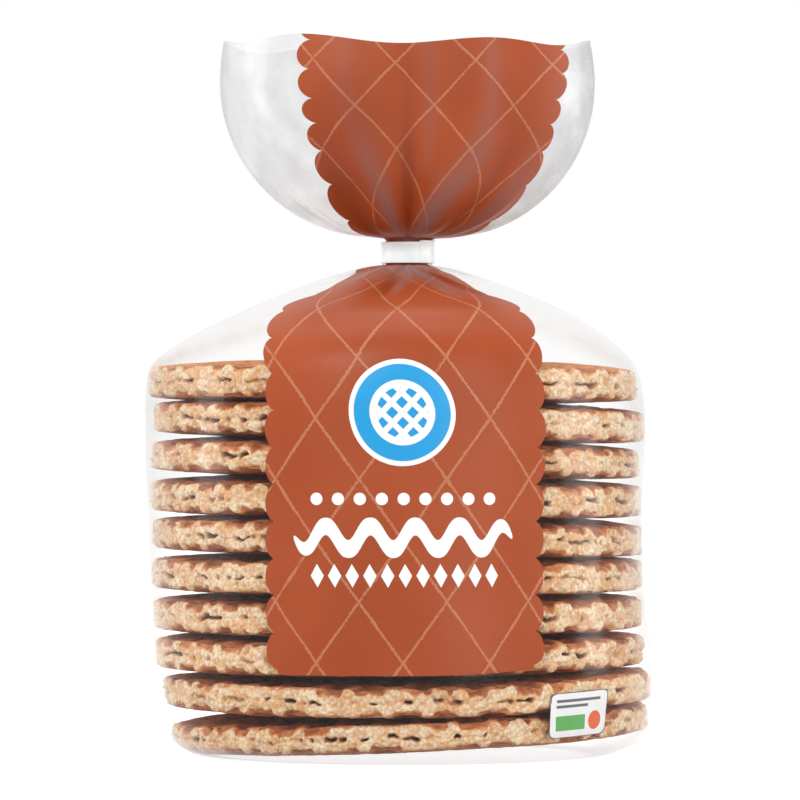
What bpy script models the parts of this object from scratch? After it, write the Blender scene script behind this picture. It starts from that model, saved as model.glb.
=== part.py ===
"""Tied clear bag with a stack of ten round syrup waffles in it, standing on its flat base.

Metres, +Z up. The origin is the middle of the base, and the printed front faces -Y.
The bag is one closed solid out to its film: a drum round the stack, a shoulder that is gathered
into a neck, and the flared end of the bag above it. The tie is a band round the neck.
"""

import math

import bmesh
import bpy

MM = 0.001

# Drum and shoulder of the bag: height, reach to the left, reach to the right, and reach to the front
# and back, in millimetres. The front and back stand fuller than the sides under the neck.
DRUM_OUTLINE = (
    (0.0, 33.0, 34.0, 33.5),
    (0.7, 36.9, 38.0, 37.4),
    (3.4, 40.3, 42.6, 41.4),
    (9.0, 41.8, 43.9, 42.8),
    (15.5, 42.5, 44.2, 43.3),
    (27.0, 43.2, 42.8, 43.2),
    (44.0, 43.8, 42.4, 43.3),
    (56.0, 44.1, 42.9, 43.4),
    (62.5, 44.2, 42.4, 43.4),
    (67.6, 43.4, 41.0, 42.9),
    (71.0, 39.3, 37.9, 41.9),
    (74.2, 33.6, 33.6, 39.7),
    (77.6, 26.4, 27.6, 35.7),
    (81.4, 17.0, 18.2, 26.0),
    (84.1, 8.0, 9.9, 11.5),
)
NECK_HALF_WIDTH = 3.85
NECK_HALF_DEPTH = 3.5
NECK_OFFSET = 1.3  # the neck stands a little to the right of the stack
NECK_BOTTOM = 85.2
NECK_TOP = 89.9
SHOULDER_FOLD = 1.9
SHOULDER_FOLD_REACH = 5.0
FLARE_HALF_WIDTH = 32.0
FLARE_HALF_DEPTH = 19.0
FLARE_OFFSET = 1.0  # the flared end leans a little to the right
FLARE_WIDEST = 117.5
FLARE_EDGE = 124.2
FLARE_WALL_SHARE = 0.24  # the share of the flared end's rows that are in its upright wall
FLARE_WALL_LEAN = 0.018
EDGE_WAVE_START = 0.7
FLARE_FOLD = 2.1

# The tie: a flat band wound round the neck, with a lip along both edges and one overlapping end.
BAND_HEIGHT = 3.7
BAND_BOTTOM = 85.5
BAND_GAP = 0.3
BAND_THICKNESS = 0.4
BAND_LIP = 0.12
BAND_LIP_HEIGHT = 0.35
BAND_LIP_SLOPE = 0.12
OVERLAP_CENTRE = math.radians(62)
OVERLAP_HALF_SPAN = math.radians(34)
OVERLAP_STEP = 0.16
OVERLAP_RISE = 0.3

AROUND = 96
DRUM_ROWS = 26
FLARE_ROWS = 12
BAND_AROUND = 64

FILM_COLOUR = (0.90, 0.90, 0.90, 1.0)
TIE_COLOUR = (0.93, 0.93, 0.93, 1.0)


def clear_scene():
    for old in list(bpy.data.objects):
        bpy.data.objects.remove(old)


def plastic(name, colour, roughness):
    material = bpy.data.materials.new(name)
    material.use_nodes = True
    shader = material.node_tree.nodes["Principled BSDF"]
    shader.inputs["Base Color"].default_value = colour
    shader.inputs["Roughness"].default_value = roughness
    shader.inputs["Metallic"].default_value = 0.0
    return material


def curve_value(before, start, end, after, share):
    """Catmull-Rom value between start and end."""
    slope_in = (end - before) / 2
    slope_out = (after - start) / 2
    square = share * share
    cube = square * share
    return (
        (2 * cube - 3 * square + 1) * start
        + (cube - 2 * square + share) * slope_in
        + (3 * square - 2 * cube) * end
        + (cube - square) * slope_out
    )


def smooth_rows(points, count):
    """count rows spaced evenly by length along a smooth curve through points."""
    fine = []
    steps = 24
    last = len(points) - 1
    for i in range(last):
        four = [points[max(0, i - 1)], points[i], points[i + 1], points[min(last, i + 2)]]
        for step in range(steps):
            fine.append([curve_value(*column, step / steps) for column in zip(*four)])
    fine.append(list(points[-1]))
    lengths = [0.0]
    for one, two in zip(fine, fine[1:]):
        reach = (two[1] + two[2] - one[1] - one[2]) / 2
        lengths.append(lengths[-1] + math.hypot(two[0] - one[0], reach))
    rows = []
    at = 0
    for k in range(count):
        wanted = lengths[-1] * k / (count - 1)
        while at < len(fine) - 2 and lengths[at + 1] < wanted:
            at += 1
        share = (wanted - lengths[at]) / (lengths[at + 1] - lengths[at])
        rows.append([a + (b - a) * share for a, b in zip(fine[at], fine[at + 1])])
    return rows


def shoulder_pleat(turn, reach):
    """How far the gathered film stands out, in millimetres: deepest just outside the neck."""
    spread = max(0.0, reach - NECK_HALF_WIDTH) / SHOULDER_FOLD_REACH
    depth = SHOULDER_FOLD * spread * math.exp(1 - spread)
    wave = (
        0.50 * math.cos(7 * turn + 2.8)
        + 0.30 * math.cos(12 * turn + 0.5) / (1 + spread)
        + 0.25 * math.cos(4 * turn - 1.0)
    )
    return depth * wave


def drum_wave(turn, height):
    """The slack film's slight waves over the stack, in millimetres."""
    fade = min(1.0, height / 12.0) * min(1.0, max(0.0, (70.0 - height) / 12.0))
    return fade * (
        0.22 * math.cos(5 * turn + 0.05 * height) + 0.14 * math.cos(9 * turn - 0.08 * height)
    )


def flare_pleat(turn, rise):
    """Folds of the flared end in millimetres. rise runs from 0 at the neck to 1 at the cut edge.

    The front has a valley in its middle and a ridge on either side of it.
    """
    depth = FLARE_FOLD * min(1.0, rise / 0.14) * (1 - 0.62 * rise)
    return depth * (
        -0.55 * math.cos(6 * turn + 0.25)
        - 0.35 * math.cos(10 * turn - 0.5) * (1 - rise)
        + 0.28 * math.cos(3 * turn + 2.0)
    )


def edge_wave(turn):
    """How the cut edge of the bag rises and falls, in millimetres."""
    return -0.60 * math.cos(6 * turn + 0.35) - 0.35 * math.sin(2 * turn) - 0.2 * math.cos(3 * turn)


def edge_share(rise):
    """How much of the cut edge's wave a row of the flared end takes."""
    return max(0.0, rise - EDGE_WAVE_START) / (1 - EDGE_WAVE_START)


def section(height, centre, half_width, half_depth, pleat, lift):
    """One closed ring of the film. turn is 0 at the front and grows towards the right."""
    ring = []
    for k in range(AROUND):
        turn = 2 * math.pi * k / AROUND
        out = 1 + pleat(turn) / half_width
        ring.append(
            (
                (centre + half_width * out * math.sin(turn)) * MM,
                -half_depth * out * math.cos(turn) * MM,
                (height + lift(turn)) * MM,
            )
        )
    return ring


def drum_sections():
    neck = (NECK_BOTTOM, NECK_HALF_WIDTH - NECK_OFFSET, NECK_HALF_WIDTH + NECK_OFFSET, NECK_HALF_DEPTH)
    sections = []
    for height, left, right, half_depth in smooth_rows(DRUM_OUTLINE + (neck,), DRUM_ROWS):
        reach = (left + right) / 2
        sections.append(
            section(
                height,
                (right - left) / 2,
                reach,
                half_depth,
                lambda turn, r=reach, z=height: shoulder_pleat(turn, r) + drum_wave(turn, z),
                lambda turn: 0.0,
            )
        )
    return sections


def flare_sections():
    """A quarter ellipse from the neck out to the widest height, then a nearly upright wall."""
    sections = []
    bowl_height = FLARE_WIDEST - NECK_TOP
    wall_height = FLARE_EDGE - FLARE_WIDEST
    for k in range(FLARE_ROWS):
        rise = k / (FLARE_ROWS - 1)
        if rise < 1 - FLARE_WALL_SHARE:
            bend = rise / (1 - FLARE_WALL_SHARE) * math.pi / 2
            height = FLARE_WIDEST - bowl_height * math.cos(bend)
            spread = math.sin(bend)
        else:
            up = (rise - 1 + FLARE_WALL_SHARE) / FLARE_WALL_SHARE
            height = FLARE_WIDEST + wall_height * up
            spread = 1 - FLARE_WALL_LEAN * up * up
        sections.append(
            section(
                height,
                NECK_OFFSET + (FLARE_OFFSET - NECK_OFFSET) * spread,
                NECK_HALF_WIDTH + (FLARE_HALF_WIDTH - NECK_HALF_WIDTH) * spread,
                NECK_HALF_DEPTH + (FLARE_HALF_DEPTH - NECK_HALF_DEPTH) * spread,
                lambda turn, s=rise: flare_pleat(turn, s),
                lambda turn, s=rise: edge_wave(turn) * edge_share(s),
            )
        )
    return sections


def lofted(name, sections):
    """A closed solid through the rings, with a fan of triangles over each end."""
    mesh = bmesh.new()
    rings = [[mesh.verts.new(point) for point in ring] for ring in sections]
    for low, high in zip(rings, rings[1:]):
        for k in range(AROUND):
            nxt = (k + 1) % AROUND
            mesh.faces.new((low[k], low[nxt], high[nxt], high[k]))
    bmesh.ops.triangulate(mesh, faces=mesh.faces)
    for ring in (rings[0], rings[-1]):
        middle = sum((v.co for v in ring), ring[0].co * 0) / AROUND
        hub = mesh.verts.new(middle)
        for k in range(AROUND):
            mesh.faces.new((hub, ring[(k + 1) % AROUND], ring[k]))
    bmesh.ops.recalc_face_normals(mesh, faces=mesh.faces)
    data = bpy.data.meshes.new(name)
    mesh.to_mesh(data)
    mesh.free()
    return data


def centred(data):
    """Centres the box round the points on the origin in X and Y, and returns how far they moved."""
    shift = []
    for axis in (0, 1):
        values = [v.co[axis] for v in data.vertices]
        shift.append(-(min(values) + max(values)) / 2)
    for v in data.vertices:
        v.co.x += shift[0]
        v.co.y += shift[1]
    return shift


def build_bag(collection, film):
    """Returns the middle of the neck in metres, once the bag is centred."""
    data = lofted("bag", drum_sections() + flare_sections())
    shift = centred(data)
    data.shade_smooth()
    data.materials.append(film)
    collection.objects.link(bpy.data.objects.new("bag", data))
    return shift[0] + NECK_OFFSET * MM, shift[1]


def build_band(collection, tie, centre):
    """An open oval wall given its thickness inwards, so that it keeps its gap to the neck."""
    half_width = NECK_HALF_WIDTH + BAND_GAP + BAND_THICKNESS
    half_depth = NECK_HALF_DEPTH + BAND_GAP + BAND_THICKNESS
    top = BAND_HEIGHT
    levels = (
        (0.0, BAND_LIP),
        (BAND_LIP_HEIGHT, BAND_LIP),
        (BAND_LIP_HEIGHT + BAND_LIP_SLOPE, 0.0),
        (top - BAND_LIP_HEIGHT - BAND_LIP_SLOPE, 0.0),
        (top - BAND_LIP_HEIGHT, BAND_LIP),
        (top, BAND_LIP),
    )
    mesh = bmesh.new()
    rings = []
    for height, lip in levels:
        ring = []
        for k in range(BAND_AROUND):
            turn = 2 * math.pi * k / BAND_AROUND
            away = abs((turn - OVERLAP_CENTRE + math.pi) % (2 * math.pi) - math.pi)
            layer = 1.0 if away < OVERLAP_HALF_SPAN else 0.0
            out = lip + layer * OVERLAP_STEP
            rise = layer * OVERLAP_RISE * height / top
            ring.append(
                mesh.verts.new(
                    (
                        (half_width + out) * math.sin(turn) * MM,
                        -(half_depth + out) * math.cos(turn) * MM,
                        (height + rise) * MM,
                    )
                )
            )
        rings.append(ring)
    for low, high in zip(rings, rings[1:]):
        for k in range(BAND_AROUND):
            nxt = (k + 1) % BAND_AROUND
            mesh.faces.new((low[k], low[nxt], high[nxt], high[k]))
    data = bpy.data.meshes.new("neck_band")
    mesh.to_mesh(data)
    mesh.free()
    data.materials.append(tie)
    band = bpy.data.objects.new("neck_band", data)
    collection.objects.link(band)
    band.location = (centre[0], centre[1], BAND_BOTTOM * MM)
    wall = band.modifiers.new("wall", "SOLIDIFY")
    wall.thickness = BAND_THICKNESS * MM
    wall.offset = -1.0


def main():
    clear_scene()
    collection = bpy.data.collections.new("waffle_bag")
    bpy.context.scene.collection.children.link(collection)
    film = plastic("clear_film", FILM_COLOUR, 0.15)
    tie = plastic("tie_plastic", TIE_COLOUR, 0.4)
    neck_centre = build_bag(collection, film)
    build_band(collection, tie, neck_centre)


main()
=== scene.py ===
"""A tied clear bag of ten syrup waffles: film, print, tie, waffles, floor, lamps and camera.

Lengths inside the functions are millimetres in the frame of the CAD model. Meshes are made in metres.
turn is the angle round the bag: 0 at the printed front (-Y), growing towards the right (+X).
"""

import math

import bpy
import numpy as np
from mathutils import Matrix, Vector


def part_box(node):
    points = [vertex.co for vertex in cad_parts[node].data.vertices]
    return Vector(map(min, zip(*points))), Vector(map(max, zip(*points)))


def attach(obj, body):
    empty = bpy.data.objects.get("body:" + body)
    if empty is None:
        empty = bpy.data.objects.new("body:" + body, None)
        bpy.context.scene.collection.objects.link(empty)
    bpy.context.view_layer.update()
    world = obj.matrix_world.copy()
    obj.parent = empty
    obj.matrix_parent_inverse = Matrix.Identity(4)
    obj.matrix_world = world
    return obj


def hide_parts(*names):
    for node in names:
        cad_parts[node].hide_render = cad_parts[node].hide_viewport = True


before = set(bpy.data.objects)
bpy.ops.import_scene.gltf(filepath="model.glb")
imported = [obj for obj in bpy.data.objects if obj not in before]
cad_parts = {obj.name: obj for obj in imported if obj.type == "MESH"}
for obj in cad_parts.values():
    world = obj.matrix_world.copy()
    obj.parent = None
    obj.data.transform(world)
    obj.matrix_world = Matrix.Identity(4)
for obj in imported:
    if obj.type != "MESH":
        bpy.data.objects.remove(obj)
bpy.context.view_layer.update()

MM = 0.001

# ---- the bag's form, as in the CAD model
# Height, reach to the left, reach to the right, reach to the front and back.
DRUM_OUTLINE = (
    (0.0, 33.0, 34.0, 33.5),
    (0.7, 36.9, 38.0, 37.4),
    (3.4, 40.3, 42.6, 41.4),
    (9.0, 41.8, 43.9, 42.8),
    (15.5, 42.5, 44.2, 43.3),
    (27.0, 43.2, 42.8, 43.2),
    (44.0, 43.8, 42.4, 43.3),
    (56.0, 44.1, 42.9, 43.4),
    (62.5, 44.2, 42.4, 43.4),
    (67.6, 43.4, 41.0, 42.9),
    (71.0, 39.3, 37.9, 41.9),
    (74.2, 33.6, 33.6, 39.7),
    (77.6, 26.4, 27.6, 35.7),
    (81.4, 17.0, 18.2, 26.0),
    (84.1, 8.0, 9.9, 11.5),
)
NECK_HALF_WIDTH = 3.85
NECK_HALF_DEPTH = 3.5
NECK_OFFSET = 1.3
NECK_BOTTOM = 85.2
NECK_TOP = 89.9
SHOULDER_FOLD = 1.9
SHOULDER_FOLD_REACH = 5.0
FLARE_HALF_WIDTH = 32.0
FLARE_HALF_DEPTH = 19.0
FLARE_OFFSET = 1.0
FLARE_WIDEST = 117.5
FLARE_EDGE = 123.7
FLARE_WALL_SHARE = 0.24
FLARE_WALL_LEAN = 0.018
FLARE_FOLD = 2.1
EDGE_WAVE_START = 0.7

# The tie
BAND_HEIGHT = 3.7
BAND_BOTTOM = 85.5
BAND_OUT = 0.7
BAND_THICKNESS = 0.4

# The print: a panel with scalloped sides and a diamond lattice. Its half turns are in degrees: on the
# drum, gained as the shoulder narrows, tucked back below the neck, and on the flared end.
DRUM_RADIUS = 43.2
PRINT_HALF = 23.6
PRINT_BOTTOM = 15.4
PRINT_OUT = 0.10
PRINT_HALF_TURN = 30.5
PRINT_GATHER = 40.0
PRINT_TUCK = 13.0
FLARE_HALF_TURN = 41.7
FLARE_WAIST = 0.58
INK_OUT = 0.13
SCALLOP_PITCH = 6.25
SCALLOP_ANCHOR = 22.5
SCALLOP_DEPTH = 1.80
LATTICE_WIDTH = 15.2
LATTICE_HEIGHT = 20.6
LATTICE_ROW_HEIGHT = 58.7
LATTICE_OFFSET = 0.6
FLARE_LATTICE_SPREAD = 35.3
FLARE_LATTICE_TURN = 0.156
# Heights of the print's scallop corners on the flared end, and how many scallops are below each.
FLARE_SCALLOP_HEIGHTS = (89.9, 98.9, 104.6, 109.3, 113.55, 118.3, 123.7)
FLARE_SCALLOP_COUNTS = (0.0, 2.0, 3.0, 4.0, 5.0, 6.0, 7.2)
FLARE_LATTICE_ROW = 6.36

# The stack, from the top waffle down: middle height, right end less left end, bend of both ends,
# thickness, shift to the right, radius.
WAFFLES = (
    (64.9, -0.7, -0.35, 5.9, -1.4, 42.2),
    (58.3, -1.8, -0.50, 5.6, 0.0, 42.6),
    (51.7, -1.5, -0.40, 5.4, -0.7, 42.3),
    (44.9, -1.0, -0.30, 5.7, -0.5, 42.5),
    (38.2, -1.1, -0.25, 5.6, -0.5, 42.6),
    (31.5, -0.3, -0.10, 5.6, -0.6, 42.4),
    (24.6, 0.2, 0.10, 5.7, -0.5, 42.5),
    (17.8, 0.4, 0.40, 5.6, -0.3, 42.3),
    (10.8, 1.1, 1.00, 5.5, 1.4, 42.2),
    (4.95, 3.7, 0.00, 5.2, 1.8, 41.1),
)
GRID_PITCH = 6.4
GRID_RIDGE = 1.9
GRID_DEPTH = 0.8
# Points round a waffle, rows up its side, its noise's shift from waffle to waffle, and its loose crumbs.
AROUND = 1000
SIDE_ROWS = 24
NOISE_STEP = 9.0
CRUMBS_EACH = 280


def srgb(red, green, blue):
    """Linear colour of an sRGB colour given in 0 to 255."""
    out = []
    for part in (red, green, blue):
        part = part / 255
        out.append(part / 12.92 if part <= 0.04045 else ((part + 0.055) / 1.055) ** 2.4)
    return (*out, 1.0)


# ---- film surface
def curve_value(before, start, end, after, share):
    """Catmull-Rom value between start and end."""
    slope_in = (end - before) / 2
    slope_out = (after - start) / 2
    square = share * share
    cube = square * share
    return (
        (2 * cube - 3 * square + 1) * start
        + (cube - 2 * square + share) * slope_in
        + (3 * square - 2 * cube) * end
        + (cube - square) * slope_out
    )


def smooth_rows(points, steps):
    """Rows along a smooth curve through points, steps to each stretch."""
    points = np.array([points[0], *points, points[-1]])
    share = np.arange(steps)[:, None] / steps
    rows = [curve_value(*points[i : i + 4], share) for i in range(len(points) - 3)]
    return np.vstack(rows + [points[-1]])


def smooth_step(low, high, value):
    """0 up to low and 1 from high on, with a smooth rise between them."""
    share = np.clip((value - low) / (high - low), 0, 1)
    return share * share * (3 - 2 * share)


def film_rows():
    """Rows of length, height, centre, half width, half depth and rise, from the base to the cut edge.

    rise is -1 on the drum and goes from 0 to 1 up the flared end.
    """
    left, right = NECK_HALF_WIDTH - NECK_OFFSET, NECK_HALF_WIDTH + NECK_OFFSET
    drum = smooth_rows(DRUM_OUTLINE + ((NECK_BOTTOM, left, right, NECK_HALF_DEPTH),), 24)
    height, left, right, depth = drum.T
    rows = [np.column_stack([height, (right - left) / 2, (left + right) / 2, depth, height * 0 - 1])]
    rise = np.linspace(0, 1, 240)
    bend = np.minimum(rise / (1 - FLARE_WALL_SHARE), 1) * math.pi / 2
    up = np.maximum(rise - 1 + FLARE_WALL_SHARE, 0) / FLARE_WALL_SHARE
    height = FLARE_WIDEST - (FLARE_WIDEST - NECK_TOP) * np.cos(bend) + (FLARE_EDGE - FLARE_WIDEST) * up
    spread = np.sin(bend) - FLARE_WALL_LEAN * up * up
    width = NECK_HALF_WIDTH + (FLARE_HALF_WIDTH - NECK_HALF_WIDTH) * spread
    depth = NECK_HALF_DEPTH + (FLARE_HALF_DEPTH - NECK_HALF_DEPTH) * spread
    centre = NECK_OFFSET + (FLARE_OFFSET - NECK_OFFSET) * spread
    rows.append(np.column_stack([height, centre, width, depth, rise]))
    rows = np.vstack(rows)
    steps = np.hypot(np.diff(rows[:, 0]), np.diff(rows[:, 3]))
    return np.column_stack([np.concatenate([[0], np.cumsum(steps)]), rows])


ROWS = film_rows()
EDGE_LENGTH = ROWS[-1, 0]


def length_at_height(height):
    """Length along the drum's front where it reaches this height."""
    return float(np.interp(height, ROWS[:, 1], ROWS[:, 0]))


NECK_LENGTH = length_at_height((NECK_BOTTOM + NECK_TOP) / 2)
FLARE_LENGTH = length_at_height(NECK_TOP)
LATTICE_ROW = length_at_height(LATTICE_ROW_HEIGHT) - length_at_height(SCALLOP_ANCHOR)


def half_width(length):
    """The film's half width at a length along it."""
    return np.interp(length, ROWS[:, 0], ROWS[:, 3])


def shoulder_pleat(turn, reach):
    """Gathers of the shoulder, deepest a little way out from the neck."""
    spread = np.maximum(0.0, reach - NECK_HALF_WIDTH) / SHOULDER_FOLD_REACH
    depth = SHOULDER_FOLD * spread * np.exp(1 - spread)
    wave = (
        0.50 * np.cos(7 * turn + 2.8)
        + 0.30 * np.cos(12 * turn + 0.5) / (1 + spread)
        + 0.25 * np.cos(4 * turn - 1.0)
    )
    creases = 0.16 * np.cos(23 * turn + 0.6 * np.sin(3 * turn)) + 0.10 * np.cos(37 * turn + 1.3)
    return depth * (wave + creases * np.exp(-0.5 * spread))


def drum_wave(turn, height):
    """Slow waves of the film round the stack."""
    fade = np.minimum(1.0, height / 12.0) * np.clip((70.0 - height) / 12.0, 0, 1)
    return fade * (0.22 * np.cos(5 * turn + 0.05 * height) + 0.14 * np.cos(9 * turn - 0.08 * height))


def flare_pleat(turn, rise):
    """Gathers of the flared end, which fade from the neck to the cut edge."""
    depth = FLARE_FOLD * np.minimum(1.0, rise / 0.14) * (1 - 0.62 * rise)
    wave = (
        -0.55 * np.cos(6 * turn + 0.25)
        - 0.35 * np.cos(10 * turn - 0.5) * (1 - rise)
        + 0.28 * np.cos(3 * turn + 2.0)
    )
    creases = 0.16 * np.cos(19 * turn + 0.8 * np.sin(2 * turn)) * (1 - rise) ** 3
    creases += 0.06 * np.cos(31 * turn + 3 * rise) * (1 - rise) ** 3
    return depth * (wave + creases)


def ridge(turn, middle, width):
    """A rounded ridge of height 1 round the turn middle."""
    away = np.mod(turn - middle + math.pi, 2 * math.pi) - math.pi
    return np.exp(-((away / width) ** 2))


def front_folds(turn, rise):
    """Deeper folds at the front of the flared end, which run up from the neck and fan out to the right."""
    fade = smooth_step(0.0, 0.10, rise) * (1 - smooth_step(0.28, 0.80, rise))
    fan = 0.45 * smooth_step(0.15, 0.55, rise)
    low = 0.75 * ridge(turn, -0.16 - 0.15 * fan, 0.09) - 1.1 * ridge(turn, 0.01, 0.06)
    low += 0.85 * ridge(turn, 0.22 + 0.4 * fan, 0.12) - 0.9 * ridge(turn, -0.50, 0.15)
    low += 0.6 * ridge(turn, 0.85, 0.16) - 0.7 * ridge(turn, 0.55 + 0.3 * fan, 0.11)
    upper = smooth_step(0.35, 0.55, rise)
    high = 0.35 * ridge(turn, 0.13, 0.06) - 0.25 * ridge(turn, 0.02, 0.05) + 0.30 * ridge(turn, 0.48, 0.09)
    high += 0.25 * ridge(turn, -0.33, 0.08) - 0.2 * ridge(turn, 0.30, 0.08)
    return fade * low + upper * high


def shoulder_folds(turn, width):
    """A tent-like fold below the neck at the front: one ridge runs down to each side of it."""
    down = np.clip((width - NECK_HALF_WIDTH) / 22.0, 0, 1)
    fade = smooth_step(0.0, 0.10, down) * (1 - smooth_step(0.70, 1.0, down))
    right = ridge(turn, 0.06 + 0.40 * down, 0.05 + 0.02 * down)
    left = ridge(turn, 0.04 - 0.16 * smooth_step(0.4, 1.0, down), 0.045)
    hollow = ridge(turn, -0.10 - 0.05 * down, 0.07) + 0.8 * ridge(turn, 0.20 + 0.46 * down, 0.07)
    return fade * (0.75 * right + 0.65 * left - 0.60 * hollow)


def edge_wave(turn):
    """How the cut edge rises and falls round the bag."""
    return -0.60 * np.cos(6 * turn + 0.35) - 0.35 * np.sin(2 * turn) - 0.2 * np.cos(3 * turn)


def film_at(turn, length):
    """Points of the film for arrays of turn and length, before the shift to the CAD model's place."""
    turn, length = np.broadcast_arrays(np.asarray(turn, float), np.asarray(length, float))
    height, centre, width, depth, rise = (np.interp(length, ROWS[:, 0], row) for row in ROWS.T[1:])
    risen = np.clip(rise, 0, 1)
    pleat = np.where(
        length > NECK_LENGTH,
        flare_pleat(turn, risen) + front_folds(turn, risen),
        shoulder_pleat(turn, width) + shoulder_folds(turn, width) + drum_wave(turn, height),
    )
    out = 1 + pleat / width
    lift = edge_wave(turn) * np.maximum(0.0, risen - EDGE_WAVE_START) / (1 - EDGE_WAVE_START)
    across, away = centre + width * out * np.sin(turn), -depth * out * np.cos(turn)
    return np.stack([across, away, height + lift], axis=-1)


def film_points(turn, length, out=0.0):
    """Points of the film in the frame, out millimetres outside it."""
    points = film_at(turn, length)
    if np.any(out):
        above, below = np.minimum(length + 0.02, EDGE_LENGTH), np.maximum(length - 0.02, 0)
        along = film_at(turn, above) - film_at(turn, below)
        across = film_at(turn + 0.002, length) - film_at(turn - 0.002, length)
        normal = np.cross(across, along)
        normal /= np.maximum(np.linalg.norm(normal, axis=-1, keepdims=True), 1e-9)
        points = points + normal * np.asarray(out)[..., None]
    return points + SHIFT


def centring_shift():
    """The move that puts the CAD bag's box round the origin, found from the neck band."""
    low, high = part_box("neck_band")
    return np.array([(low.x + high.x) / 2 / MM - NECK_OFFSET, (low.y + high.y) / 2 / MM, 0.0])


SHIFT = centring_shift()


# ---- noise
def lattice_hash(cell, seed):
    """A value from 0 to 1 for each whole-numbered cell of an (N, 3) array."""
    x, y, z = (cell[:, k].astype(np.int64) for k in range(3))
    code = (x * 73856093) ^ (y * 19349663) ^ (z * 83492791) ^ (seed * 2654435761)
    code = (code ^ (code >> 13)) * 1274126177 & 0x7FFFFFFF
    code = (code ^ (code >> 16)) & 0xFFFFF
    return code / float(0xFFFFF)


def noise(points, size, seed):
    """Smooth noise from -1 to 1 with features of that size, at (N, 3) points."""
    scaled = points / size + 100.0
    cell = np.floor(scaled)
    part = scaled - cell
    part = part * part * (3 - 2 * part)
    total = np.zeros(len(points))
    for corner in range(8):
        offset = np.array([corner & 1, corner >> 1 & 1, corner >> 2 & 1])
        weight = np.prod(np.where(offset, part, 1 - part), axis=1)
        total += weight * lattice_hash(cell + offset, seed)
    return total * 2 - 1


def grains(points, size, seed):
    """Distance to the nearest grain's middle, in grain sizes, and that grain's own value from 0 to 1."""
    scaled = points / size + 100.0
    cell = np.floor(scaled)
    nearest = np.full(len(points), 9.0)
    value = np.zeros(len(points))
    for step in range(27):
        offset = np.array([step % 3 - 1, step // 3 % 3 - 1, step // 9 - 1])
        here = cell + offset
        middle = here + np.column_stack([lattice_hash(here, seed + k) for k in (1, 2, 3)])
        distance = np.linalg.norm(scaled - middle, axis=1)
        closer = distance < nearest
        nearest = np.where(closer, distance, nearest)
        value = np.where(closer, lattice_hash(here, seed + 4), value)
    return nearest, value


# ---- meshes
def new_object(name, data):
    """An object that is in the scene."""
    piece = bpy.data.objects.new(name, data)
    bpy.context.scene.collection.objects.link(piece)
    return piece


def mesh_object(name, points, faces, material, smooth=True):
    """An object from points in millimetres and a list of faces."""
    data = bpy.data.meshes.new(name)
    data.from_pydata((np.asarray(points) * MM).tolist(), [], faces)
    data.materials.append(material)
    if smooth:
        data.shade_smooth()
    data.update()
    return new_object(name, data)


def add_attribute(piece, name, values):
    """A value for each point, which the materials read."""
    attribute = piece.data.attributes.new(name, "FLOAT", "POINT")
    attribute.data.foreach_set("value", np.asarray(values, np.float32).ravel())


def add_plane_map(piece, name, across, along):
    """A UV map that holds two values of each point."""
    layer = piece.data.uv_layers.new(name=name)
    index = np.zeros(len(piece.data.loops), np.int32)
    piece.data.loops.foreach_get("vertex_index", index)
    pairs = np.column_stack([np.ravel(across)[index], np.ravel(along)[index]])
    layer.data.foreach_set("uv", pairs.astype(np.float32).ravel())


def grid_faces(rows, columns, closed=False, ring=False):
    """Quads of a grid of points that is stored row by row. A ring joins its last row to its first."""
    faces = []
    for i in range(rows if ring else rows - 1):
        low, high = i * columns, (i + 1) % rows * columns
        for j in range(columns if closed else columns - 1):
            k = (j + 1) % columns
            faces.append((low + j, low + k, high + k, high + j))
    return faces


def place(piece, slot, *replaced):
    """Every piece rides on the one body."""
    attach(piece, "root")
    if replaced:
        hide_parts(*replaced)


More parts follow.
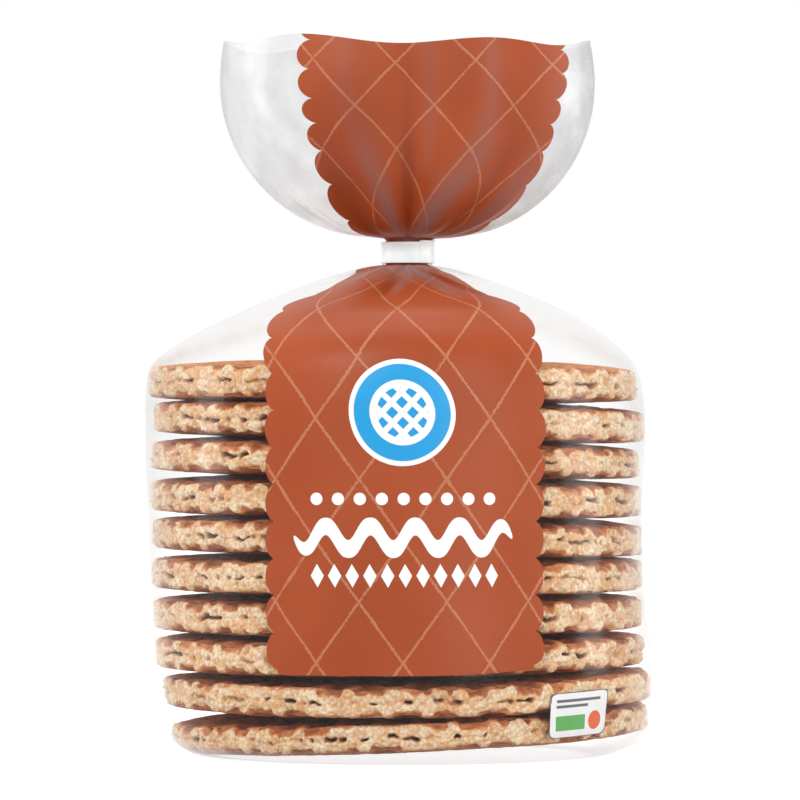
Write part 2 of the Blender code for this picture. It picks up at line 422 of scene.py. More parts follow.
# ---- materials
class Nodes:
    """A small helper for the node tree of a material or of the world."""

    def __init__(self, name, world=None):
        self.owner = world or bpy.data.materials.new(name)
        self.owner.use_nodes = True
        self.tree = self.owner.node_tree
        self.tree.nodes.clear()
        self.output = self.add("OutputWorld" if world else "OutputMaterial")

    def feed(self, socket, value):
        """Links an output into a socket, or sets the socket's own value."""
        if isinstance(value, bpy.types.NodeSocket):
            self.tree.links.new(value, socket)
        else:
            socket.default_value = value

    def add(self, kind, inputs=(), **settings):
        """A node. inputs fill its sockets in order, capitals name a socket, the rest are properties."""
        node = self.tree.nodes.new("ShaderNode" + kind)
        for key, value in settings.items():
            if key[0].isupper():
                self.feed(node.inputs[key.replace("_", " ")], value)
            else:
                setattr(node, key, value)
        for socket, value in zip(node.inputs, inputs):
            self.feed(socket, value)
        return node

    def math(self, operation, first, second=0.0, third=0.0, clamp=False):
        return self.add("Math", (first, second, third), operation=operation, use_clamp=clamp).outputs[0]

    def times(self, first, second):
        return self.math("MULTIPLY", first, second)

    def line(self, value, slope, start):
        return self.math("MULTIPLY_ADD", value, slope, start)

    def ramp(self, value, low, high, to_low=0.0, to_high=1.0):
        """A value smoothly mapped from one range to another, and held at its ends."""
        node = self.add("MapRange", (value, low, high, to_low, to_high), interpolation_type="SMOOTHSTEP")
        return node.outputs["Result"]

    def mix(self, share, first, second):
        """A colour between two others."""
        node = self.add("Mix", data_type="RGBA")
        for key, value in ((0, share), (6, first), (7, second)):
            self.feed(node.inputs[key], value)
        return node.outputs[2]

    def blend(self, share, first, second):
        """A shader between two others."""
        return self.add("MixShader", (share, first, second)).outputs[0]

    def attribute(self, name):
        return self.add("Attribute", attribute_name=name).outputs["Fac"]

    def noise(self, vector, size, detail=2.0, rough=0.5):
        """Noise from 0 to 1 with features of that size in millimetres, on a position in metres."""
        node = self.add("TexNoise", Vector=vector, Scale=1 / (size * MM), Detail=detail, Roughness=rough)
        return node.outputs["Fac"]

    def position(self):
        return self.add("TexCoord").outputs["Object"]

    def bump(self, height, strength, distance):
        return self.add("Bump", Strength=strength, Distance=distance, Height=height).outputs["Normal"]

    def seen(self):
        """1 for rays straight from the camera, from a gloss or through clear film, and 0 for others."""
        rays = self.add("LightPath").outputs
        direct = self.math("MAXIMUM", rays["Is Camera Ray"], rays["Is Transmission Ray"])
        return self.math("MAXIMUM", rays["Is Glossy Ray"], direct)

    def coat(self, colour, roughness, normal, **inputs):
        """Finishes the material as one principled surface."""
        settings = dict(Base_Color=colour, Roughness=roughness, Normal=normal, **inputs)
        return self.finish(self.add("BsdfPrincipled", **settings).outputs[0])

    def finish(self, shader):
        self.tree.links.new(shader, self.output.inputs["Surface"])
        return self.owner


WHITE = (1.0, 1.0, 1.0, 1.0)


def clear_film(name, haze, edge):
    """Clear film: gloss by angle over a nearly clear sheet with a little white haze.

    The haze attribute adds milkiness where the film is gathered in several layers; on the flared end's
    right side it also holds painted shade, more of the grey that darkens that side.
    """
    n = Nodes(name)
    place_in = n.position()
    gathered = n.attribute("haze")
    glossy = n.attribute("gloss")
    uneven = n.ramp(n.noise(place_in, 9.0), 0.35, 0.65, 0.55, 1.35)
    facing = n.add("LayerWeight", Blend=0.5).outputs["Facing"]
    rim = n.ramp(facing, 0.45, 0.85, 0.0, edge)
    milk = n.times(n.math("ADD", gathered, haze), uneven)
    milk = n.math("ADD", milk, n.times(rim, n.line(gathered, 4.0, 1.0)), clamp=True)
    sheet = n.add("BsdfTransparent", Color=WHITE).outputs[0]
    veil = n.add("BsdfDiffuse", Color=(0.50, 0.50, 0.50, 1.0)).outputs[0]
    soft = n.blend(n.times(milk, glossy), sheet, veil)
    bump = n.bump(n.noise(place_in, 14.0, 1.0), 0.10, 0.0006)
    gloss = n.add("BsdfGlossy", Color=(0.95, 0.95, 0.95, 1.0), Roughness=0.16, Normal=bump).outputs[0]
    mirror = n.math("MULTIPLY_ADD", n.math("POWER", facing, 5.0), 0.85, 0.016, clamp=True)
    return n.finish(n.blend(n.times(mirror, glossy), soft, gloss))


def printed_film():
    """Terracotta print with thin chalky lines in diamonds, worked out from the map's millimetres, with
    painted shade and painted glare laid over it from the panel's attributes.
    """
    n = Nodes("printed_film")
    plane = n.add("UVMap", uv_map="print").outputs[0]
    across, along = n.add("SeparateXYZ", (plane,)).outputs[:2]
    flat = n.add("CombineXYZ", (n.times(across, MM), n.times(along, MM))).outputs[0]
    u = n.math("DIVIDE", across, LATTICE_WIDTH)
    v = n.math("DIVIDE", along, LATTICE_HEIGHT)
    step = 1 / math.hypot(1 / LATTICE_WIDTH, 1 / LATTICE_HEIGHT)
    wobble = n.times(n.math("SUBTRACT", n.noise(flat, 6.0), 0.5), 0.02)
    rough_edge = n.math("SUBTRACT", n.noise(flat, 0.55, 3.0, 0.7), 0.5)
    half = n.line(n.noise(flat, 4.0, 1.0), 0.30, 0.07)
    half = n.line(rough_edge, 0.72, half)
    lines = []
    for operation in ("ADD", "SUBTRACT"):
        diagonal = n.math("ADD", n.math(operation, u, v), wobble)
        part = n.math("FRACT", n.math("ADD", diagonal, 0.5))
        away = n.times(n.math("ABSOLUTE", n.math("SUBTRACT", part, 0.5)), step)
        lines.append(n.ramp(away, n.math("ADD", half, 0.05), n.math("SUBTRACT", half, 0.05)))
    gaps = n.ramp(n.noise(flat, 2.4, 2.0, 0.6), 0.30, 0.40)
    line = n.times(n.math("MAXIMUM", *lines), n.line(gaps, 0.55, 0.45))
    cloud = n.ramp(n.noise(flat, 26.0), 0.3, 0.7)
    ground = n.mix(cloud, srgb(163, 70, 30), srgb(173, 78, 39))
    colour = n.mix(n.times(line, 0.80), ground, srgb(198, 128, 94))
    # Painted shade: the print is darkened in the folds' valleys, near the neck and in two broad patches on
    # the flared end.
    colour = n.mix(n.attribute("painted_print_shade"), colour, srgb(112, 42, 18))
    # Painted glare: a grey sheen laid on the fold ridges and just above the neck.
    colour = n.mix(n.attribute("painted_glare"), colour, srgb(134, 112, 110))
    bump = n.bump(n.noise(n.position(), 11.0), 0.12, 0.0006)
    return n.coat(colour, 0.42, bump, Specular_IOR_Level=0.28)


def ink(name, colour):
    """A printed colour field with a slight unevenness."""
    n = Nodes(name)
    at = n.position()
    uneven = n.ramp(n.noise(at, 3.0, 3.0, 0.6), 0.3, 0.7)
    tint = n.mix(uneven, colour, tuple(min(1.0, part * 1.05) for part in colour))
    return n.coat(tint, 0.35, n.bump(n.noise(at, 0.6), 0.05, 0.0001))


def baked_waffle():
    """Crumb of small golden grains, browned skin, and dark caramel in the clefts, with painted shade
    between the grains and in the side's hollows and painted highlights on its raised crumb.
    """
    n = Nodes("baked_waffle")
    at = n.position()
    toast, cleft, syrup, lift = (n.attribute(name) for name in ("toast", "cleft", "syrup", "lift"))
    crumb = n.mix(n.ramp(n.noise(at, 4.5), 0.36, 0.64), srgb(242, 197, 146), srgb(254, 230, 194))
    grain = n.add("TexVoronoi", Vector=at, Scale=1 / (0.62 * MM), feature="F1").outputs
    speck = n.add("SeparateXYZ", (grain["Color"],)).outputs[0]
    for value, low, high, share, colour in (
        (speck, 0.50, 0.90, 0.65, (255, 242, 216)),
        (speck, 0.35, 0.05, 0.50, (224, 158, 96)),
        # Painted shade in the crevices between the grains.
        (grain["Distance"], 0.40, 0.85, 0.45, (190, 128, 76)),
        (n.noise(at, 2.6, 3.0), 0.48, 0.66, 0.50, (228, 162, 98)),
        # Painted shade where the broken side sinks and a painted highlight where it stands out, read from
        # its relief (lift); the loose crumbs carry a random lift.
        (lift, -0.10, -0.60, 0.65, (180, 112, 60)),
        (lift, 0.10, 0.42, 0.65, (255, 236, 200)),
    ):
        crumb = n.mix(n.ramp(value, low, high, 0.0, share), crumb, srgb(*colour))
    browned = n.mix(n.ramp(n.noise(at, 2.2, 3.0), 0.34, 0.66), srgb(152, 80, 43), srgb(213, 136, 82))
    browned = n.mix(n.ramp(n.noise(at, 0.8), 0.52, 0.75, 0.0, 0.4), browned, srgb(205, 143, 92))
    ragged = n.line(n.math("SUBTRACT", n.noise(at, 0.6, 3.0, 0.7), 0.5), 0.9, toast)
    colour = n.mix(n.ramp(ragged, 0.15, 0.50, 0.0, 0.85), crumb, srgb(214, 138, 76))
    colour = n.mix(n.ramp(ragged, 0.45, 0.85), colour, browned)
    colour = n.mix(n.times(syrup, 0.85), colour, srgb(178, 118, 56))
    colour = n.mix(cleft, colour, srgb(112, 60, 36))
    pits = n.times(n.noise(at, 0.35, 3.0, 0.65), 0.6)
    relief = n.times(n.line(grain["Distance"], -0.5, pits), n.line(toast, -0.75, 1.0))
    rough = n.line(syrup, -0.4, n.line(toast, -0.35, 0.85))
    soft = dict(Subsurface_Weight=0.12, Subsurface_Scale=0.0012)
    return n.coat(colour, rough, n.bump(relief, 1.0, 0.00030), Specular_IOR_Level=0.3, **soft)


def white_tape():
    """Satin white tape, very slightly cool."""
    n = Nodes("white_tape")
    fine = n.noise(n.position(), 1.6, 3.0, 0.6)
    tint = n.mix(n.ramp(fine, 0.3, 0.7), srgb(241, 252, 254), srgb(244, 255, 255))
    return n.coat(tint, 0.38, n.bump(fine, 0.08, 0.0002))


# ---- bag
def build_film():
    """The clear bag from its base to the cut edge. Where the print covers it, the print is the film."""
    columns = 300
    turns = np.arange(columns) * 2 * math.pi / columns
    lengths = np.concatenate(
        [
            np.linspace(0, 14, 12, endpoint=False),
            np.linspace(14, length_at_height(66), 30, endpoint=False),
            np.linspace(length_at_height(66), NECK_LENGTH, 34, endpoint=False),
            np.linspace(NECK_LENGTH, EDGE_LENGTH, 62),
        ]
    )
    rows = film_points(turns[None, :], lengths[:, None])
    base = []
    for share in (0.2, 0.4, 0.6, 0.8, 0.93):
        ring = rows[0] * np.array([share, share, 0.0])
        ring[:, 2] = 0.12 * (1 - share) * np.abs(np.sin(turns)) ** 0.5
        base.append(ring)
    points = np.vstack([np.array(base).reshape(-1, 3), rows.reshape(-1, 3)])
    every_length = np.concatenate([np.zeros(len(base)), lengths])[:, None]
    middle, half = print_span(every_length)
    away = np.abs(np.mod(turns[None, :] - middle + math.pi, 2 * math.pi) - math.pi) / half
    printed = ((away < 0.975) & (every_length > length_at_height(PRINT_BOTTOM) + 1.0)).ravel()
    faces = grid_faces(len(base) + len(lengths), columns, closed=True)
    faces = [face for face in faces if not all(printed[i] for i in face)]
    faces += [tuple(range(columns))[::-1]]
    film = mesh_object("bag_film", points, faces, clear_film("clear_film", 0.002, 0.13))
    length_of = np.concatenate([np.zeros(len(base) * columns), np.repeat(lengths, columns)])
    flared = smooth_step(FLARE_LENGTH, FLARE_LENGTH + 1.0, length_of)
    gather = smooth_step(length_at_height(79.0), NECK_LENGTH, length_of) * 0.12
    turn_of = np.tile(turns, len(base) + len(lengths))
    # Fine streaks of haze, and a ridge round turn 1.45 that is painted shade: more grey haze that darkens
    # the flared end's right side.
    veil = 0.02 * np.maximum(0, np.cos(19 * turn_of)) ** 4 + 0.20 * ridge(turn_of, 1.45, 0.50)
    add_attribute(film, "haze", np.maximum(gather, 0.22 * flared) + veil * flared)
    add_attribute(film, "gloss", np.repeat([0.05, 1.0], [len(base) * columns, len(lengths) * columns]))
    place(film, "clear_film", "bag")


def print_span(length):
    """The print's middle turn and the half turn out to the corners between its scallops."""
    width = half_width(length)
    narrowing = np.clip(1 - width / DRUM_RADIUS, 0, 1)
    tucked = smooth_step(4.0, 16.0, width) * (1 - smooth_step(19.0, 28.0, width))
    on_drum = PRINT_HALF_TURN + PRINT_GATHER * narrowing - PRINT_TUCK * tucked
    rise = np.clip((length - FLARE_LENGTH) / (EDGE_LENGTH - FLARE_LENGTH), 0, 1)
    bow = np.minimum((rise - FLARE_WAIST) ** 2, np.where(rise > FLARE_WAIST, 0.085, 1.0))
    low = 1 - rise
    on_flare = FLARE_HALF_TURN + 32.0 * bow + 4.0 * low**3 + 30.0 * low**14
    side = smooth_step(NECK_LENGTH - 1.5, NECK_LENGTH + 1.5, length)
    half = np.radians(on_drum * (1 - side) + on_flare * side)
    off_line = np.interp(length, ROWS[:, 0], ROWS[:, 2]) + 0.5
    centre_drum = np.radians(2.15 - 5.0 * narrowing) - off_line / DRUM_RADIUS
    centre = centre_drum * (1 - side) + np.radians(12.6 + 16.0 * bow) * side
    return centre, half


def scallops_up(length):
    """How many scallops a place is up the print's side. The count starts again at the neck."""
    in_flare = ROWS[:, 5] >= 0
    marks = np.interp(FLARE_SCALLOP_HEIGHTS, ROWS[in_flare, 1], ROWS[in_flare, 0])
    return np.where(
        length < NECK_LENGTH,
        (length - length_at_height(SCALLOP_ANCHOR)) / SCALLOP_PITCH,
        np.interp(length, marks, FLARE_SCALLOP_COUNTS),
    )


def lattice_up(length):
    """Millimetres up the print's lattice, from a row of crossings that has one near the middle."""
    low = (length - length_at_height(SCALLOP_ANCHOR)) - LATTICE_ROW
    high = (scallops_up(length) - FLARE_LATTICE_ROW) * SCALLOP_PITCH + LATTICE_HEIGHT / 2
    return np.where(length < NECK_LENGTH, low, high)


def print_rows(start):
    """Lengths of the panel's rows: closest at the corners between the scallops, with a row on each."""
    fine = np.linspace(start, EDGE_LENGTH, 4000)
    up = scallops_up(fine)
    whole = np.ceil(up[:-1] + 1e-9)
    passed = np.flatnonzero((np.floor(up[1:]) >= whole) & (up[1:] > up[:-1]))
    part = (whole[passed] - up[passed]) / (up[passed + 1] - up[passed])
    marks = [start, *(fine[passed] + part * (fine[1] - fine[0])), NECK_LENGTH, EDGE_LENGTH]
    marks.sort()
    swing = (1 - np.cos(np.linspace(0, math.pi, 15))) / 2
    lengths = []
    for one, two in zip(marks, marks[1:]):
        if two - one > 0.05:
            lengths += list(one + (two - one) * swing[:-1])
    return np.array(lengths + [EDGE_LENGTH])


def print_reach(lengths, start):
    """How far out the panel's side is at each row, where 1 is at the corners between the scallops."""
    phase = np.mod(scallops_up(lengths) + 1e-6, 1.0)
    arc = np.clip(1 - (2 * phase - 1) ** 2, 0, 1) ** 0.62
    depth = SCALLOP_DEPTH / PRINT_HALF * (1 + 0.35 * smooth_step(FLARE_LENGTH, FLARE_LENGTH + 8.0, lengths))
    tucked = (1 - smooth_step(19.0, 24.0, half_width(lengths))) * (lengths < NECK_LENGTH)
    corner = np.clip(1 - (lengths - start) / 2.6, 0, 1)
    return 1 + depth * (1 - 0.9 * tucked) * arc - 0.11 * (1 - np.sqrt(1 - corner**2))


def build_print(material):
    """The panel just outside the film, with its sides in scallops and its lower corners round."""
    start = length_at_height(PRINT_BOTTOM)
    lengths = print_rows(start)
    columns = 81
    across = np.linspace(-1, 1, columns)
    share = print_reach(lengths, start)[:, None] * across[None, :]
    lift = 0.8 * np.clip(across, 0, 1) ** 2
    line_up = lengths[:, None] + lift[None, :] * np.exp(-((lengths[:, None] - start) / 6.0))
    line_up = np.minimum(line_up, EDGE_LENGTH)
    middle, half = print_span(line_up)
    turn = middle + half * share
    points = film_points(turn, line_up, PRINT_OUT)
    panel = mesh_object("print_panel", points.reshape(-1, 3), grid_faces(len(lengths), columns), material)
    in_flare = line_up > NECK_LENGTH
    on_flare = FLARE_LATTICE_SPREAD * (np.sin(turn) - FLARE_LATTICE_TURN)
    map_across = np.where(in_flare, on_flare, share * PRINT_HALF + LATTICE_OFFSET)
    add_plane_map(panel, "print", map_across, lattice_up(line_up))
    rise = np.clip((line_up - FLARE_LENGTH) / (EDGE_LENGTH - FLARE_LENGTH), 0, 1)
    folds = np.where(in_flare, front_folds(turn, rise), 1.8 * shoulder_folds(turn, half_width(line_up)))
    # Painted shade for the print: the folds' valleys, the film near the neck, and broad patches left and
    # right on the flared end.
    near_neck = np.exp(-(((line_up - NECK_LENGTH) / 16.0) ** 2))
    left = smooth_step(0.15, 0.40, rise) * (1 - smooth_step(0.75, 1.0, rise))
    right = smooth_step(0.35, 0.55, rise) * (1 - smooth_step(0.65, 0.85, rise))
    shade = 0.22 * ridge(turn, -0.30, 0.22) * left + 0.20 * ridge(turn, 0.72, 0.20) * right
    add_attribute(panel, "painted_print_shade", np.clip(-0.55 * folds, 0, 0.45) + 0.12 * near_neck + shade)
    # Painted glare: a grey patch just above the neck at the front, and grey on the fold ridges, stronger
    # near the neck.
    gathered = 0.55 * ridge(turn, 0.05, 0.45) * in_flare * (1 - smooth_step(0.03, 0.15, rise))
    glare = np.clip(0.95 * folds - 0.08, 0, 0.70) * (0.60 + 0.40 * near_neck)
    add_attribute(panel, "painted_glare", np.maximum(glare, gathered))
    place(panel, "printed_film")


def drum_turn(across):
    """The turn of a place on the print's front that is across millimetres to the right of its middle."""
    return math.radians(1.9) + np.asarray(across) / 43.3


def flat_shape(name, shape, material, out, slot):
    """A thin printed shape on the drum's front, from points in millimetres across and up, and faces."""
    (across, height), faces = np.transpose(shape[0]), shape[1]
    lengths = np.array([length_at_height(h) for h in height])
    place(mesh_object(name, film_points(drum_turn(across), lengths, out), faces, material), slot)


def disc_grid(radius, rings, spokes):
    """Points and faces of a round field, as offsets from its middle."""
    angles = 2 * math.pi * np.arange(spokes) / spokes
    ring = np.column_stack([np.cos(angles), np.sin(angles)])
    points = np.vstack([[(0.0, 0.0)]] + [radius * i / rings * ring for i in range(1, rings + 1)])
    faces = []
    for k in range(spokes):
        nxt = (k + 1) % spokes
        faces.append((0, 1 + k, 1 + nxt))
        for i in range(rings - 1):
            one, two = 1 + i * spokes, 1 + (i + 1) * spokes
            faces.append((one + k, two + k, two + nxt, one + nxt))
    return points, faces


def strip(centres, half_widths, rows=5):
    """A ribbon along a line of centres with a half width at each."""
    centres = np.array(centres, float)
    ahead = np.gradient(centres, axis=0)
    ahead /= np.linalg.norm(ahead, axis=1, keepdims=True)
    side = np.column_stack([-ahead[:, 1], ahead[:, 0]])
    offsets = np.linspace(-1, 1, rows)
    side = side * np.reshape(half_widths, (-1, 1))
    points = centres[:, None, :] + side[:, None, :] * offsets[None, :, None]
    return points.reshape(-1, 2), grid_faces(len(centres), rows)


def joined(shapes):
    """Several flat shapes as one list of points and faces."""
    faces, count = [], 0
    for points, shape_faces in shapes:
        faces += [tuple(count + i for i in face) for face in shape_faces]
        count += len(points)
    return np.vstack([points for points, _ in shapes]), faces


def moved(shape, across, height):
    """The same shape somewhere else."""
    return shape[0] + np.array([across, height]), shape[1]


def diamond(half_across, half_height):
    """A small diamond, cut so that it follows the curve of the bag."""
    steps = np.linspace(-1, 1, 5)
    a, b = np.meshgrid(steps, steps)
    points = np.column_stack([((a + b) / 2 * half_across).ravel(), ((b - a) / 2 * half_height).ravel()])
    return points, grid_faces(5, 5)


def waffle_icon(radius, line):
    """A ring and a lattice of straight bars inside it."""
    angles = np.linspace(0, 2 * math.pi, 73)
    ring = strip(np.column_stack([np.cos(angles), np.sin(angles)]) * radius, [line] * 73, 3)
    shapes = [ring]
    layers = [2.0] * len(ring[0])
    for tilt in (math.radians(45), math.radians(-45)):
        for step in (-0.5, 0.0, 0.5):
            half = math.sqrt(1 - step * step) * radius
            run = np.linspace(-half, half, 17)
            bar = np.column_stack([run, np.full(17, step * radius)])
            turned = np.array([[math.cos(tilt), -math.sin(tilt)], [math.sin(tilt), math.cos(tilt)]])
            shapes.append(strip(bar @ turned.T, [line * 0.8] * 17, 3))
            layers += [0.0 if tilt > 0 else 1.0] * len(shapes[-1][0])
    return *joined(shapes), np.array(layers)


def wave_ribbon(length, swing, half):
    """A bold wavy ribbon that tapers to round ends."""
    run = np.linspace(-length / 2, length / 2, 141)
    swing_line = swing * np.sin(run / length * 2 * math.pi * 5)
    slope = np.gradient(swing_line, run)
    taper = np.sqrt(np.clip(1 - (np.abs(run) / (length / 2)) ** 8, 0.02, 1))
    reach = half * taper * np.sqrt(1 + 0.35 * slope**2)
    points = np.stack([swing_line + reach * k for k in np.linspace(-1, 1, 5)], axis=-1)
    return np.column_stack([np.repeat(run, 5), points.ravel()]), grid_faces(len(run), 5)


def build_ornament():
    """Generic print in place of words and a mark: a round badge, dots, a ribbon and diamonds."""
    white = ink("ink_white", srgb(252, 252, 250))
    blue = ink("ink_blue", srgb(0, 158, 222))
    *icon, layers = waffle_icon(4.9, 0.62)
    for name, shape, material, out in (
        ("badge_rim", disc_grid(9.0, 12, 96), white, INK_OUT),
        ("badge_field", disc_grid(8.15, 12, 96), blue, INK_OUT + 0.03),
        ("badge_waffle", icon, white, INK_OUT + 0.06 + 0.012 * layers),
    ):
        flat_shape(name, moved(shape, -0.3, 59.6), material, out, "printed_film")
    dots = [moved(disc_grid(1.05, 3, 28), -0.1 + 3.7 * k, 45.1) for k in range(-4, 5)]
    diamonds = [moved(diamond(1.15, 2.0), -0.1 + 3.0 * k, 32.2) for k in range(-5, 6)]
    ribbon = moved(wave_ribbon(38.0, 1.9, 1.5), -0.1, 38.6)
    flat_shape("print_ornament", joined(dots + diamonds + [ribbon]), white, INK_OUT, "printed_film")


def build_sticker():
    """A small white field low on the right, with a plain coloured bar, a dot and two rules."""
    half, radius, lean = np.array([6.6, 3.7]), 0.9, 0.045
    columns, rows = 25, 17
    square = np.meshgrid(np.linspace(-1, 1, columns), np.linspace(-1, 1, rows))
    field = np.column_stack([part.ravel() for part in square]) * half
    over = np.maximum(np.abs(field) - (half - radius), 0)
    reach = np.linalg.norm(over, axis=1, keepdims=True)
    pull = np.where(reach > radius, radius / np.maximum(reach, 1e-6), 1.0)
    field = np.sign(field) * (np.minimum(np.abs(field), half - radius) + over * pull)
    turn_of = np.linspace(0, 2 * math.pi, 121)
    circle = np.column_stack([np.cos(turn_of), np.sin(turn_of)])
    edge = np.sign(circle) * (half - radius) + radius * circle
    for points in (field, edge):
        points[:, 1] += lean * points[:, 0]
    rules = [strip(edge, [0.11] * len(edge), 3)]
    for end, up in ((4.6, 2.45), (1.6, 1.5)):
        run = np.linspace(-5.4, end, 15)
        rules.append(strip(np.column_stack([run, run * lean + up]), [0.24] * 15, 3))
    run = np.linspace(-5.4, 1.2, 17)
    bar = strip(np.column_stack([run, run * lean - 1.35]), [1.25] * 17)
    dot = moved(disc_grid(1.6, 4, 40), 3.6, 3.6 * lean - 1.25)
    for name, tone, shape, colour, out in (
        ("sticker", "sticker_white", (field, grid_faces(rows, columns)), (240, 240, 240), INK_OUT),
        ("sticker_rules", "sticker_grey", joined(rules), (96, 98, 102), INK_OUT + 0.02),
        ("sticker_bar", "sticker_green", bar, (92, 168, 84), INK_OUT + 0.02),
        ("sticker_dot", "sticker_dot", dot, (226, 96, 44), INK_OUT + 0.02),
    ):
        flat_shape(name, moved(shape, 31.4, 8.5), ink(tone, srgb(*colour)), out, "sticker")


def build_seam():
    """The lap seam down the middle of the back: a narrow double strip of film."""
    lengths = np.linspace(2.0, EDGE_LENGTH - 0.3, 150)
    across = np.linspace(-1, 1, 7)
    width = half_width(lengths)
    half = np.minimum(4.0, 1.5 + 0.09 * width) / np.maximum(width, 6.0)
    turns = math.pi + half[:, None] * across[None, :]
    points = film_points(turns, lengths[:, None], 0.22)
    film = clear_film("seam_film", 0.04, 0.1)
    seam = mesh_object("back_seam", points.reshape(-1, 3), grid_faces(len(lengths), 7), film)
    add_attribute(seam, "haze", np.zeros(len(lengths) * 7))
    add_attribute(seam, "gloss", np.ones(len(lengths) * 7))
    place(seam, "clear_film")


def build_tie():
    """The white band round the neck, with thin lips and one end lapped over the other."""
    columns = 300
    turns = np.arange(columns) * 2 * math.pi / columns
    away = np.abs(np.mod(turns - math.radians(62) + math.pi, 2 * math.pi) - math.pi)
    layer = smooth_step(math.radians(34.6), math.radians(33.4), away)
    top = BAND_HEIGHT
    outside = [(0.0, 0.02), (0.06, 0.10), (0.3, 0.12), (0.42, 0.0)]
    outline = outside + [(top / 2, -0.03)] + [(top - h, out) for h, out in outside[::-1]]
    inside = [(top, -0.25), (top - 0.05, -BAND_THICKNESS), (0.05, -BAND_THICKNESS), (0.0, -0.25)]
    rows = []
    for height, out in outline + inside:
        full = out + BAND_OUT + (0.16 * layer if out > -0.2 else 0.0)
        ring = np.stack(
            [
                NECK_OFFSET + (NECK_HALF_WIDTH + full) * np.sin(turns),
                -(NECK_HALF_DEPTH + full) * np.cos(turns),
                BAND_BOTTOM + height + layer * 0.28 * height / top,
            ],
            axis=-1,
        )
        rows.append(ring + SHIFT)
    faces = grid_faces(len(rows), columns, closed=True, ring=True)
    tie = mesh_object("tie_band", np.array(rows).reshape(-1, 3), faces, white_tape())
    place(tie, "tie_plastic", "neck_band")


# ---- waffles
def well(points, angle, shift):
    """1 in the wells that the iron pressed, 0 on the ridges between them."""
    a = points[:, 0] * math.cos(angle) + points[:, 1] * math.sin(angle) + shift
    b = -points[:, 0] * math.sin(angle) + points[:, 1] * math.cos(angle) + 1.7 * shift
    out = 1.0
    for line in (a, b):
        to_line = np.abs(np.mod(line / GRID_PITCH + 0.5, 1.0) - 0.5) * GRID_PITCH
        out = out * smooth_step(GRID_RIDGE * 0.22, GRID_RIDGE * 0.75, to_line)
    return out


def ring_plan(fine):
    """Radius share and number of points of each ring of a face, from the middle out."""
    if fine:
        stretches = (np.arange(*ends, 0.62) for ends in ((0.7, 12.0), (12.0, 25.0), (25.0, 38.6)))
    else:
        stretches = (6.0, 14.0, 21.0, 27.0), (31.0, 34.0), (36.3, 37.9)
    plan = []
    for radii, part in zip(stretches, (8, 4, 2)):
        plan += [(r, AROUND // part) for r in radii]
    plan += [(r, AROUND) for r in (39.1, 40.0, 40.7, 41.3)]
    return [(r / 42.0, count) for r, count in plan]


def stitch(faces, start_one, count_one, start_two, count_two):
    """Faces between two rings, the first inside or below the second."""
    if count_one == count_two:
        for k in range(count_one):
            m = (k + 1) % count_one
            faces.append((start_one + k, start_one + m, start_two + m, start_two + k))
    elif count_two == 2 * count_one:
        for k in range(count_one):
            m = (k + 1) % count_one
            a, b = start_one + k, start_one + m
            p, q, r = (start_two + (2 * k + i) % count_two for i in range(3))
            faces.extend([(a, q, p), (a, b, q), (b, r, q)])
    else:
        for k in range(count_two):
            m = (k + 1) % count_two
            a, b = start_two + k, start_two + m
            p, q, r = (start_one + (2 * k + i) % count_one for i in range(3))
            faces.extend([(p, q, a), (q, b, a), (q, r, b)])


def inside_film(points):
    """Draws in what would reach past the drum's film, by turn and height, before the shift."""
    drum = ROWS[ROWS[:, 5] < 0]
    centre, width, depth = (np.interp(points[:, 2], drum[:, 1], drum[:, k]) for k in (2, 3, 4))
    across, away = (points[:, 0] - centre) / width, points[:, 1] / depth
    reach = np.hypot(across, away)
    limit = 1 + (drum_wave(np.arctan2(across, -away), points[:, 2]) - 0.14) / width
    draw = np.minimum(1, limit / np.maximum(reach, 1e-6))
    height = np.maximum(points[:, 2], 0.2)
    return np.column_stack([centre + across * draw * width, away * draw * depth, height])


